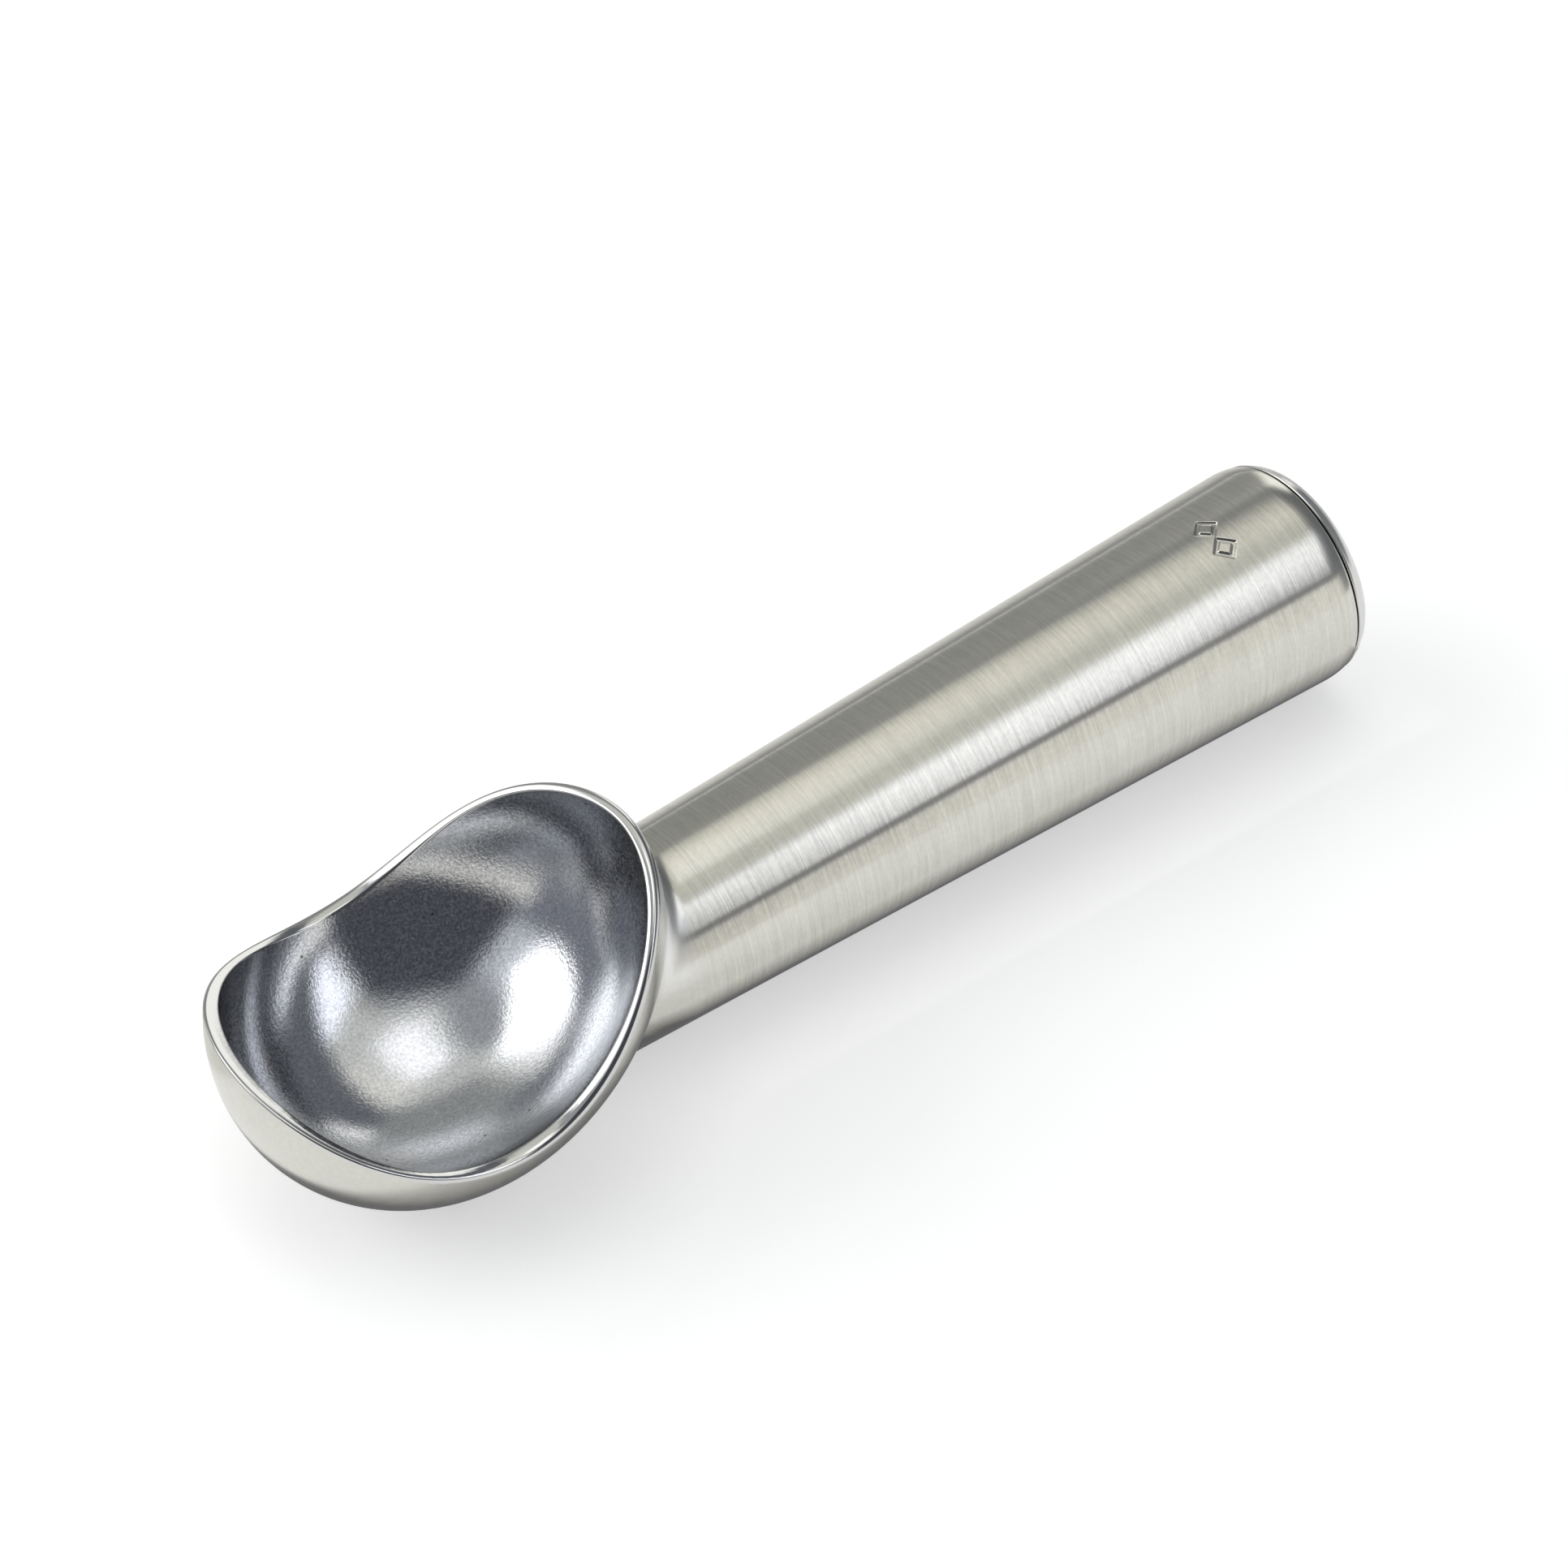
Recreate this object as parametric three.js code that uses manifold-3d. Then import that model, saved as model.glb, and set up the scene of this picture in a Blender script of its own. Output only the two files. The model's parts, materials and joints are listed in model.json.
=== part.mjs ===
// One-piece cast aluminium ice cream dipper with a hollow handle full of heat-conducting liquid.
//
// The parts are drawn in the handle's own frame: X runs along the handle's axis from the bowl towards
// the cap, Z is up and the XZ plane is the plane of symmetry. restOnTable() then tips and lifts the whole
// object so that it lies on the bowl and the end of the handle, with the origin under its middle.
// Lengths are in millimetres and angles in radians.
import * as THREE from "three";
import { mergeVertices } from "three/addons/utils/BufferGeometryUtils.js";
import Module from "manifold-3d";

const wasm = await Module();
wasm.setup();

// Handle: a long cone, widest at the capped end, with a rounded end.
const HANDLE_LENGTH = 125;
const NECK_RADIUS = 13.6;
const END_RADIUS = 17.7;
const END_ROUND_LENGTH = 6;
const END_ROUND_DEPTH = 2.9;
const HANDLE_SIDES = 60;

// Neck: the cone runs on this far past its narrow end, until it is buried in the wall of the bowl.
const NECK_REACH = 20;

// Bowl: an egg-shaped shell, tipped up towards the handle, whose rim is a saddle curve.
const BOWL_TIP = THREE.MathUtils.degToRad(24.9);
const BOWL_CENTRE_X = -26;
const BOWL_CENTRE_Z = 14.9;
const BOWL_HALF_LENGTH = 33.1;
const BOWL_HALF_WIDTH = 27.3;
const BOWL_DEPTH = 28.5;
const BOWL_NARROWING = 0.083;

// Cup: the hollow of the bowl. It is shallower than the bowl, so the casting is thickest at the bottom, and
// its walls are a little flatter than an ellipsoid's. Its centre stands off the bowl's centre by the first
// two values, along the bowl and up out of it.
const CUP_FORWARD = 0.8;
const CUP_RISE = 2.6;
const CUP_HALF_LENGTH = 31.5;
const CUP_HALF_WIDTH = 27.4;
const CUP_DEPTH = 23;
const CUP_NARROWING = 0.058;
const CUP_ROUNDNESS = 1.9;
const BOWL_SIDES = 64;
const BOWL_RINGS = 32;

// Rim height above the bowl's centre, as a cubic in the distance along the bowl divided by its half length.
const RIM_SADDLE = [-7.6, -2.7, 22.6, -15];

// Bore: a blind tapered core hole, open at the capped end.
const BORE_START = 7;
const BORE_WALL = 3;
const BORE_FLOOR_ROUND = 5;

// Cap: a flange that finishes the handle and a spigot with a seal groove that plugs the bore.
const CAP_THICKNESS = 2.7;
const SPIGOT_LENGTH = 9;
const GROOVE_START = 3.5;
const GROOVE_WIDTH = 2.8;
const GROOVE_DEPTH = 2.4;
const CHAMFER = 0.6;

// Clear gap between neighbouring parts.
const GAP = 0.3;

// Liquid: it stops short of the cap, which leaves room for it to expand.
const EXPANSION_SPACE = 8;

// Size mark: two engraved lozenges side by side, near the capped end.
const MARK_X = 107;
const MARK_TURN = THREE.MathUtils.degToRad(4);
const MARK_SIZE = 4;
const MARK_PITCH = 4.4;
const MARK_LINE = 0.7;
const MARK_DEPTH = 0.3;

const CAP_START = HANDLE_LENGTH - CAP_THICKNESS;
const BODY_END = CAP_START - GAP;

function coneRadius(x) {
  return NECK_RADIUS + (END_RADIUS - NECK_RADIUS) * x / HANDLE_LENGTH;
}

// Outside radius of the handle and its cap, with the rounded end.
function handleRadius(x) {
  const into = Math.max(0, x - (HANDLE_LENGTH - END_ROUND_LENGTH)) / END_ROUND_LENGTH;
  return coneRadius(x) - END_ROUND_DEPTH * (1 - Math.sqrt(Math.max(0, 1 - into * into)));
}

function boreRadius(x) {
  return coneRadius(x) - BORE_WALL;
}

// Evenly spaced stations from start to end, both included.
function stations(start, end, steps) {
  const list = [];
  for (let i = 0; i <= steps; i += 1) {
    list.push(start + (end - start) * i / steps);
  }
  return list;
}

// Turned solid about the X axis, from a closed outline of [x, radius] pairs.
function turned(outline) {
  const profile = outline.map(([x, radius]) => new THREE.Vector2(radius, x));
  const geometry = new THREE.LatheGeometry(profile, HANDLE_SIDES);
  geometry.rotateZ(-Math.PI / 2);
  return geometry;
}

function asSolid(geometry) {
  const bare = geometry.clone();
  bare.deleteAttribute("normal");
  bare.deleteAttribute("uv");
  const merged = mergeVertices(bare, 1e-4);
  const mesh = new wasm.Mesh({
    numProp: 3,
    vertProperties: merged.attributes.position.array,
    triVerts: new Uint32Array(merged.index.array),
  });
  return new wasm.Manifold(mesh);
}

function asGeometry(solid) {
  const mesh = solid.getMesh();
  const geometry = new THREE.BufferGeometry();
  geometry.setAttribute("position", new THREE.BufferAttribute(mesh.vertProperties, 3));
  geometry.setIndex(new THREE.BufferAttribute(mesh.triVerts, 1));
  geometry.computeVertexNormals();
  return geometry;
}

// Puts a shape drawn about the bowl's own centre and axes into the handle's frame.
function placeInBowl(geometry) {
  geometry.rotateY(-BOWL_TIP);
  geometry.translate(BOWL_CENTRE_X, 0, BOWL_CENTRE_Z);
  return geometry;
}

// Egg-shaped solid about the bowl's centre: an ellipsoid that narrows towards the handle. A roundness of 2
// is a true ellipsoid, and less makes its walls flatter.
function eggGeometry(halfLength, halfWidth, depth, narrowing, roundness) {
  const geometry = new THREE.SphereGeometry(1, BOWL_SIDES, BOWL_RINGS);
  geometry.rotateX(Math.PI / 2);
  const position = geometry.attributes.position;
  const way = new THREE.Vector3();
  for (let i = 0; i < position.count; i += 1) {
    way.fromBufferAttribute(position, i);
    const powers = way.toArray().map((part) => Math.abs(part) ** roundness);
    way.multiplyScalar((powers[0] + powers[1] + powers[2]) ** (-1 / roundness));
    const width = halfWidth * (1 - narrowing * way.x);
    position.setXYZ(i, halfLength * way.x, width * way.y, depth * way.z);
  }
  return geometry;
}

function bowlGeometry() {
  return placeInBowl(eggGeometry(BOWL_HALF_LENGTH, BOWL_HALF_WIDTH, BOWL_DEPTH, BOWL_NARROWING, 2));
}

function cupGeometry() {
  const cup = eggGeometry(CUP_HALF_LENGTH, CUP_HALF_WIDTH, CUP_DEPTH, CUP_NARROWING, CUP_ROUNDNESS);
  cup.translate(CUP_FORWARD, 0, CUP_RISE);
  return placeInBowl(cup);
}

// Everything above the rim's saddle curve, as a prism across the bowl.
function aboveRimGeometry() {
  const reach = 1.3;
  const top = 2 * BOWL_DEPTH;
  const shape = new THREE.Shape();
  shape.moveTo(-reach * BOWL_HALF_LENGTH, top);
  for (const along of stations(-reach, reach, 40)) {
    const held = Math.min(1, along);
    const height = RIM_SADDLE.reduce((sum, factor, power) => sum + factor * held ** power, 0);
    shape.lineTo(along * BOWL_HALF_LENGTH, Math.min(height, 0.9 * top));
  }
  shape.lineTo(reach * BOWL_HALF_LENGTH, top);
  const width = 3 * BOWL_HALF_WIDTH;
  const geometry = new THREE.ExtrudeGeometry(shape, { depth: width, bevelEnabled: false });
  geometry.translate(0, 0, -width / 2);
  geometry.rotateX(Math.PI / 2);
  return placeInBowl(geometry);
}

// Outside of the handle, from inside the bowl's wall to the joint with the cap.
function handleGeometry() {
  const end = stations(HANDLE_LENGTH - END_ROUND_LENGTH, BODY_END, 4).map((x) => [x, handleRadius(x)]);
  return turned([[-NECK_REACH, 0], [-NECK_REACH, coneRadius(-NECK_REACH)], ...end, [BODY_END, 0]]);
}

// The core hole, with a rounded blind end.
function boreGeometry() {
  const blind = stations(0, 1, 5).map((t) => {
    const angle = t * Math.PI / 2;
    const x = BORE_START + BORE_FLOOR_ROUND * (1 - Math.cos(angle));
    return [x, boreRadius(x) - BORE_FLOOR_ROUND * (1 - Math.sin(angle))];
  });
  const past = BODY_END + 1;
  return turned([[BORE_START, 0], ...blind, [past, boreRadius(past)], [past, 0]]);
}

// One lozenge outline, standing on the handle's skin and cut into it by MARK_DEPTH.
function lozengeGeometry(offset) {
  const half = MARK_SIZE / 2;
  const outer = [[half, 0], [0, half], [-half, 0], [0, -half]];
  const inner = outer.map(([x, y]) => [x * (1 - 2 * MARK_LINE / MARK_SIZE), y * (1 - 2 * MARK_LINE / MARK_SIZE)]);
  const shape = new THREE.Shape(outer.map(([x, y]) => new THREE.Vector2(x, y)));
  shape.holes.push(new THREE.Path(inner.reverse().map(([x, y]) => new THREE.Vector2(x, y))));
  const geometry = new THREE.ExtrudeGeometry(shape, { depth: 2, bevelEnabled: false });
  const floor = handleRadius(MARK_X) - MARK_DEPTH;
  geometry.translate(MARK_X, 0, floor);
  geometry.rotateX(MARK_TURN + offset / floor);
  return geometry;
}

function bodyGeometry() {
  const bowl = asSolid(bowlGeometry());
  const cup = asSolid(cupGeometry());
  const handle = asSolid(handleGeometry());
  const bore = asSolid(boreGeometry());
  let body = bowl.add(handle).subtract(asSolid(aboveRimGeometry())).subtract(cup).subtract(bore);
  for (const offset of [-MARK_PITCH / 2, MARK_PITCH / 2]) {
    body = body.subtract(asSolid(lozengeGeometry(offset)));
  }
  return asGeometry(body);
}

function capGeometry() {
  const spigotStart = BODY_END - SPIGOT_LENGTH;
  const grooveStart = BODY_END - GROOVE_START - GROOVE_WIDTH;
  const grooveEnd = BODY_END - GROOVE_START;
  const fit = (x) => boreRadius(x) - GAP;
  const grooveFloor = fit(grooveStart) - GROOVE_DEPTH;
  const rim = stations(CAP_START, HANDLE_LENGTH, 6).map((x) => [x, handleRadius(x)]);
  return turned([
    [spigotStart, 0],
    [spigotStart, fit(spigotStart) - CHAMFER],
    [spigotStart + CHAMFER, fit(spigotStart)],
    [grooveStart, fit(grooveStart)],
    [grooveStart, grooveFloor],
    [grooveEnd, grooveFloor],
    [grooveEnd, fit(grooveEnd)],
    [CAP_START, fit(grooveEnd)],
    ...rim,
    [HANDLE_LENGTH, 0],
  ]);
}

// Seal ring: a round-section ring that sits in the cap's groove.
function sealGeometry() {
  const centreX = BODY_END - GROOVE_START - GROOVE_WIDTH / 2;
  const outside = boreRadius(centreX - GROOVE_WIDTH / 2) - GAP;
  const inside = boreRadius(centreX - GROOVE_WIDTH / 2) - GAP - GROOVE_DEPTH + GAP;
  const sectionRadius = (outside - inside) / 2;
  const centreRadius = (outside + inside) / 2;
  const outline = stations(0, 2 * Math.PI, 10).map((angle) => [
    centreX + sectionRadius * Math.sin(angle),
    centreRadius + sectionRadius * Math.cos(angle),
  ]);
  return turned(outline);
}

function liquidGeometry() {
  const start = BORE_START + GAP;
  const end = BODY_END - SPIGOT_LENGTH - EXPANSION_SPACE;
  const blind = stations(0, 1, 5).map((t) => {
    const angle = t * Math.PI / 2;
    const x = start + BORE_FLOOR_ROUND * (1 - Math.cos(angle));
    return [x, boreRadius(x) - GAP - BORE_FLOOR_ROUND * (1 - Math.sin(angle))];
  });
  return turned([[start, 0], ...blind, [end, boreRadius(end) - GAP], [end, 0]]);
}

function part(name, geometry, material) {
  const mesh = new THREE.Mesh(geometry, new THREE.MeshStandardMaterial(material));
  mesh.name = name;
  return mesh;
}

// Lowest point of the geometry in the tipped frame, on one side of a station along X.
function lowest(geometry, tilt, side) {
  const position = geometry.attributes.position;
  let low = Infinity;
  for (let i = 0; i < position.count; i += 1) {
    const x = position.getX(i);
    if ((x - HANDLE_LENGTH / 2) * side > 0) {
      low = Math.min(low, x * Math.sin(tilt) + position.getZ(i) * Math.cos(tilt));
    }
  }
  return low;
}

// Tips the scoop until the bowl and the handle's end are equally low, then puts its middle over the origin.
function restOnTable(group, body) {
  let flat = 0;
  let steep = 0.1;
  for (let i = 0; i < 40; i += 1) {
    const tilt = (flat + steep) / 2;
    if (lowest(body, tilt, 1) < lowest(body, tilt, -1)) {
      flat = tilt;
    } else {
      steep = tilt;
    }
  }
  group.rotation.y = -flat;
  group.updateMatrixWorld(true);
  const box = new THREE.Box3().setFromObject(group, true);
  const middle = box.getCenter(new THREE.Vector3());
  group.position.set(-middle.x, 0, -box.min.z);
}

const body = bodyGeometry();
const scoop = new THREE.Group();
scoop.add(part("scoop_body", body, { color: 0xc4c6c4, metalness: 1, roughness: 0.32 }));
scoop.add(part("end_cap", capGeometry(), { color: 0xc9cbca, metalness: 1, roughness: 0.28 }));
scoop.add(part("cap_seal_ring", sealGeometry(), { color: 0x1d1d1f, metalness: 0, roughness: 0.7 }));
scoop.add(part("heat_fluid", liquidGeometry(), { color: 0x9fc3a4, metalness: 0, roughness: 0.2 }));
restOnTable(scoop, body);

export default scoop;
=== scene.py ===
"""Looks for the ice cream dipper: a finely meshed casting and cap, metal materials, floor, light and camera.

The metal parts are drawn in the handle's own frame, in millimetres: X along the handle's axis from the bowl
to the cap, Z up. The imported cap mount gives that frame's place, so every piece lands on its CAD node.
"""
import json
import math

import bpy
import numpy as np
from mathutils import Matrix, Vector


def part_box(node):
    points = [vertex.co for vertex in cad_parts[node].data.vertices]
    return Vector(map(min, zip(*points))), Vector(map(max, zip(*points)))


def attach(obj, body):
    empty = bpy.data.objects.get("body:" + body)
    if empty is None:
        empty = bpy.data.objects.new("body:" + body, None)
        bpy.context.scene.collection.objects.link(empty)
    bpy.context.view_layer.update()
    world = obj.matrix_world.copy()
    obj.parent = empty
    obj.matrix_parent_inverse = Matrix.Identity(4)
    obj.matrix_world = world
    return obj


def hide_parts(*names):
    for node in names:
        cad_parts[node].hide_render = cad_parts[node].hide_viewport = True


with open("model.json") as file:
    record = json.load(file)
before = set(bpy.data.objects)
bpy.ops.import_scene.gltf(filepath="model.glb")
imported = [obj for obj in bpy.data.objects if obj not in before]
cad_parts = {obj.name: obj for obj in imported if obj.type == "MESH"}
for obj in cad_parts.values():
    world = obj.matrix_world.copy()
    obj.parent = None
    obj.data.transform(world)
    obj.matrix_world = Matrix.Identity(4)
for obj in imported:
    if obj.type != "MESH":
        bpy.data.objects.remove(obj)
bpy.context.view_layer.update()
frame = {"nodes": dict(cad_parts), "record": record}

MM = 0.001

# The driving dimensions of the CAD, in millimetres.
HANDLE_LENGTH = 125.0
NECK_RADIUS = 13.6
NECK_REACH = 20.0
END_RADIUS = 17.7
END_ROUND_LENGTH = 6.0
END_ROUND_DEPTH = 2.9
BOWL_TIP = math.radians(24.9)
BOWL_CENTRE = np.array([-26.0, 0.0, 14.9])
BOWL_SIZE = np.array([33.1, 27.3, 28.5])
BOWL_NARROWING = 0.083
CUP_OFFSET = np.array([0.8, 0.0, 2.6])
CUP_SIZE = np.array([31.5, 27.4, 23.0])
CUP_NARROWING = 0.058
CUP_ROUNDNESS = 1.9
RIM_SADDLE = (-7.6, -2.7, 22.6, -15.0)
BORE_START = 7.0
BORE_WALL = 3.0
BORE_FLOOR_ROUND = 5.0
CAP_THICKNESS = 2.7
SPIGOT_LENGTH = 9.0
GROOVE_START = 3.5
GROOVE_WIDTH = 2.8
GROOVE_DEPTH = 2.4
CHAMFER = 0.6
GAP = 0.3
MARK_X = 107.0
MARK_TURN = math.radians(4)
MARK_SIZE = 4.0
MARK_PITCH = 4.4
CAP_START = HANDLE_LENGTH - CAP_THICKNESS
BODY_END = CAP_START - GAP

# Finish that the CAD leaves out, and the mark's groove, a little narrower than there, with soft walls.
FILLET = 3.4
RIM_ROUND = 1.3
RIM_ROUND_INSIDE = 0.3
SEAM_ROUND = 0.25
MARK_LINE = 0.6
MARK_DEPTH = 0.3
MARK_WALL = 0.12
MARK_MARGIN = 0.3

# Fineness of the meshes: points round each ring, and how many more of them lie across the mark.
COLUMNS = 300
MARK_COLUMNS = 60
TURN_SAMPLES = 4001
CUP_RINGS = 96
BOWL_RINGS = 100
HANDLE_RINGS = 36
MARK_RINGS = 42
LAST_RINGS = 7
END_RINGS = 14

# Bisection steps, and the distance in which every ray from the web's heart has left the casting.
RAY_STEPS = 44
RAY_REACH = 80.0
RIM_STEPS = 50


# ---- Frames ---------------------------------------------------------------------------------------------

def handle_frame():
    """The handle frame's origin and axes in the row frame, from the mount on the cap's face."""
    mount = next(m for m in frame["record"]["mounts"] if m["name"] == "cap_face")
    along = np.array(mount["axis"], float)
    along /= np.linalg.norm(along)
    side = np.array([0.0, 1.0, 0.0])
    up = np.cross(along, side)
    origin = np.array(mount["pos_m"], float) - along * HANDLE_LENGTH * MM
    return origin, np.stack([along, side, up])


ORIGIN, AXES = handle_frame()


def to_row(points):
    """Millimetres in the handle's frame to metres in the row frame, where nothing lies below the floor."""
    row = ORIGIN + (np.asarray(points) * MM) @ AXES
    row[..., 2] = np.maximum(row[..., 2], 0)
    return row


BOWL_AXES = np.array([
    [math.cos(BOWL_TIP), 0.0, math.sin(BOWL_TIP)],
    [0.0, 1.0, 0.0],
    [-math.sin(BOWL_TIP), 0.0, math.cos(BOWL_TIP)],
])


def to_bowl(points):
    """Points of the handle's frame in the bowl's own frame."""
    return (points - BOWL_CENTRE) @ BOWL_AXES.T


def from_bowl(points):
    """Points of the bowl's own frame in the handle's frame."""
    return BOWL_CENTRE + points @ BOWL_AXES


# ---- Surfaces -------------------------------------------------------------------------------------------

def cone_radius(x):
    """Radius of the handle's cone, without the rounding at its end."""
    return NECK_RADIUS + (END_RADIUS - NECK_RADIUS) * x / HANDLE_LENGTH


def handle_radius(x):
    """Radius of the handle's outside, with the rounding at its end."""
    into = np.clip((x - (HANDLE_LENGTH - END_ROUND_LENGTH)) / END_ROUND_LENGTH, 0, 1)
    return cone_radius(x) - END_ROUND_DEPTH * (1 - np.sqrt(1 - into * into))


def bore_radius(x):
    return cone_radius(x) - BORE_WALL


def saddle(along):
    """Height of the rim over the bowl's centre, at a distance along the bowl over its half length."""
    t = np.minimum(along, 1.0)
    return RIM_SADDLE[0] + RIM_SADDLE[1] * t + RIM_SADDLE[2] * t ** 2 + RIM_SADDLE[3] * t ** 3


def egg_point(size, narrowing, roundness, turn, lift):
    """Point of an egg at a turn about its upright axis and a lift. A roundness of 2 is an ellipsoid."""
    way = np.stack([np.cos(lift) * np.cos(turn), np.cos(lift) * np.sin(turn), np.sin(lift)], -1)
    way = way * (np.abs(way) ** roundness).sum(-1, keepdims=True) ** (-1 / roundness)
    way[..., 1] *= 1 - narrowing * way[..., 0]
    return way * size


def bowl_point(turn, lift):
    """Point of the egg that the bowl's outside is, in the bowl's frame."""
    return egg_point(BOWL_SIZE, BOWL_NARROWING, 2.0, turn, lift)


def cup_point(turn, lift):
    """Point of the shallower egg that the bowl's hollow is, in the bowl's frame."""
    return egg_point(CUP_SIZE, CUP_NARROWING, CUP_ROUNDNESS, turn, lift) + CUP_OFFSET


def bowl_distance(points):
    """Distance outside the bowl's egg and its outward normal, both close near the surface."""
    local = to_bowl(points)
    size = BOWL_SIZE
    narrow = 1 - BOWL_NARROWING * local[..., 0] / size[0]
    scale = np.stack([np.full_like(narrow, size[0]), size[1] * narrow, np.full_like(narrow, size[2])], -1)
    reach = np.linalg.norm(local / scale, axis=-1)
    slope = local / scale ** 2
    steep = np.linalg.norm(slope, axis=-1)
    normal = (slope / steep[..., None]) @ BOWL_AXES
    return reach * (reach - 1) / steep, normal


def handle_distance(points):
    """Distance outside the handle's cone, which starts inside the bowl's wall, and its outward normal."""
    off_axis = np.maximum(np.linalg.norm(points[..., 1:], axis=-1), 1e-9)
    slope = (END_RADIUS - NECK_RADIUS) / HANDLE_LENGTH
    lean = 1 / math.hypot(1, slope)
    radial = points[..., 1:] / off_axis[..., None]
    normal = np.concatenate([np.full_like(off_axis, -slope)[..., None], radial], -1) * lean
    beside = (off_axis - cone_radius(np.maximum(points[..., 0], -NECK_REACH))) * lean
    behind = np.maximum(-NECK_REACH - points[..., 0], 0)
    return np.where(behind > 0, np.hypot(behind, np.maximum(beside, 0)), beside), normal


def casting_distance(points):
    """Egg and cone joined by a fillet that is as wide as the corner between them is sharp."""
    egg, egg_normal = bowl_distance(points)
    cone, cone_normal = handle_distance(points)
    corner = 1 - (egg_normal * cone_normal).sum(-1)
    width = np.maximum(FILLET * corner, 1e-6)
    share = np.clip(0.5 + 0.5 * (cone - egg) / width, 0, 1)
    return cone * (1 - share) + egg * share - width * share * (1 - share)


def cast_rays(start, directions):
    """First crossing of the casting's outside along each direction from a point inside it."""
    near = np.zeros(directions.shape[:-1])
    far = np.full(directions.shape[:-1], RAY_REACH)
    for _ in range(RAY_STEPS):
        middle = (near + far) / 2
        outside = casting_distance(start + directions * middle[..., None]) > 0
        far = np.where(outside, middle, far)
        near = np.where(outside, near, middle)
    return start + directions * ((near + far) / 2)[..., None]


def rim_lift(surface, turn, below=0.0):
    """Lift at which the bowl's or the cup's egg meets the rim's saddle, or a level that far below it."""
    low = np.full_like(turn, -math.pi / 2)
    high = np.full_like(turn, math.pi / 2)
    for _ in range(RIM_STEPS):
        middle = (low + high) / 2
        point = surface(turn, middle)
        above = point[..., 2] > saddle(point[..., 0] / BOWL_SIZE[0]) - below
        high = np.where(above, middle, high)
        low = np.where(above, low, middle)
    return (low + high) / 2


# ---- Outside of the bowl: a web of lines from the neck to the rim ----------------------------------------

# The web's lines are rays from the heart, a point inside the casting. They start on the handle at WEB_NECK.
HEART = np.array([-14.0, 0.0, 0.0])
WEB_NECK = 16.0
MOUTH_LEAN = math.radians(107)
MOUTH_WAY = np.array([math.cos(MOUTH_LEAN), 0.0, math.sin(MOUTH_LEAN)])
MOUTH_FORE = np.array([MOUTH_WAY[2], 0.0, -MOUTH_WAY[0]])
MOUTH_SIDE = np.array([0.0, 1.0, 0.0])
RIM_SAMPLES = 8192

# How much closer together the web's rings lie at both of its ends.
RING_CROWDING = 0.13


def to_plane(directions):
    """Stereographic map of directions from the heart; the mouth's direction goes to infinity."""
    scale = 1 / (1 - directions @ MOUTH_WAY)
    return np.stack([(directions @ MOUTH_FORE) * scale, (directions @ MOUTH_SIDE) * scale], -1)


def from_plane(flat):
    """Directions from the heart, from their places on the map."""
    square = (flat ** 2).sum(-1)[..., None]
    away = 2 * (flat[..., :1] * MOUTH_FORE + flat[..., 1:] * MOUTH_SIDE)
    return (away + (square - 1) * MOUTH_WAY) / (square + 1)


def unit(vectors):
    return vectors / np.linalg.norm(vectors, axis=-1, keepdims=True)


def ring_points(x, radius, turns):
    """Ring about the handle's axis; turn 0 is the top and turns grow towards -Y."""
    turns = np.asarray(turns)
    return np.stack([np.full_like(turns, x), -radius * np.sin(turns), radius * np.cos(turns)], -1)


def rim_turns(neck_flat, hub):
    """Turn about the bowl's upright axis at which each line of the web reaches the rim."""
    turn = np.linspace(-math.pi, math.pi, RIM_SAMPLES)
    rim = from_bowl(bowl_point(turn, rim_lift(bowl_point, turn, RIM_ROUND)))
    reach = to_plane(unit(rim - HEART)) - hub
    bearing = np.unwrap(np.arctan2(reach[:, 1], reach[:, 0]))
    start = neck_flat - hub
    wanted = np.unwrap(np.arctan2(start[:, 1], start[:, 0]))
    wanted = bearing[0] + np.mod(wanted - bearing[0], 2 * math.pi)
    order = np.argsort(bearing)
    return np.interp(wanted, bearing[order], turn[order])


def bowl_outside(turns, rings):
    """Rings of points from the neck to just under the rim, and each line's turn about the bowl."""
    neck = ring_points(WEB_NECK, cone_radius(WEB_NECK), turns)
    neck_flat = to_plane(unit(neck - HEART))
    hub = to_plane(np.array([[1.0, 0.0, 0.0]]))[0]
    bowl_turns = rim_turns(neck_flat, hub)
    rim = from_bowl(bowl_point(bowl_turns, rim_lift(bowl_point, bowl_turns, RIM_ROUND)))
    rim_flat = to_plane(unit(rim - HEART))
    step = np.linspace(0, 1, rings)
    step = step - RING_CROWDING * np.sin(2 * math.pi * step)
    flat = neck_flat[None] + step[:, None, None] * (rim_flat - neck_flat)[None]
    points = cast_rays(HEART, from_plane(flat))
    points[0] = neck
    points[-1] = rim
    return points, bowl_turns


# ---- Rings of the whole casting --------------------------------------------------------------------------

def ease(t):
    """Soft step from 0 to 1."""
    return t * t * (3 - 2 * t)


def column_turns():
    """Turns of the casting's columns about the handle's axis, closer together across the engraved mark."""
    reach = (MARK_PITCH + MARK_SIZE) / 2 / NECK_RADIUS
    fade = 0.6 * reach
    turn = np.linspace(-math.pi, math.pi, TURN_SAMPLES)
    near = np.clip((reach + fade - np.abs(turn)) / fade, 0, 1)
    plain = (COLUMNS - MARK_COLUMNS) / (2 * math.pi)
    density = plain + ease(near) * MARK_COLUMNS / (2 * reach + fade)
    count = np.concatenate([[0.0], np.cumsum((density[1:] + density[:-1]) / 2)])
    wanted = np.arange(COLUMNS) / COLUMNS * count[-1]
    return MARK_TURN + np.interp(wanted, count, turn)


def bend(a, corner, b, steps):
    """Points of a smooth corner between a and b, ends left out."""
    t = np.linspace(0, 1, steps + 2)[1:-1, None, None]
    return (1 - t) ** 2 * a + 2 * t * (1 - t) * corner + t ** 2 * b


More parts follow.
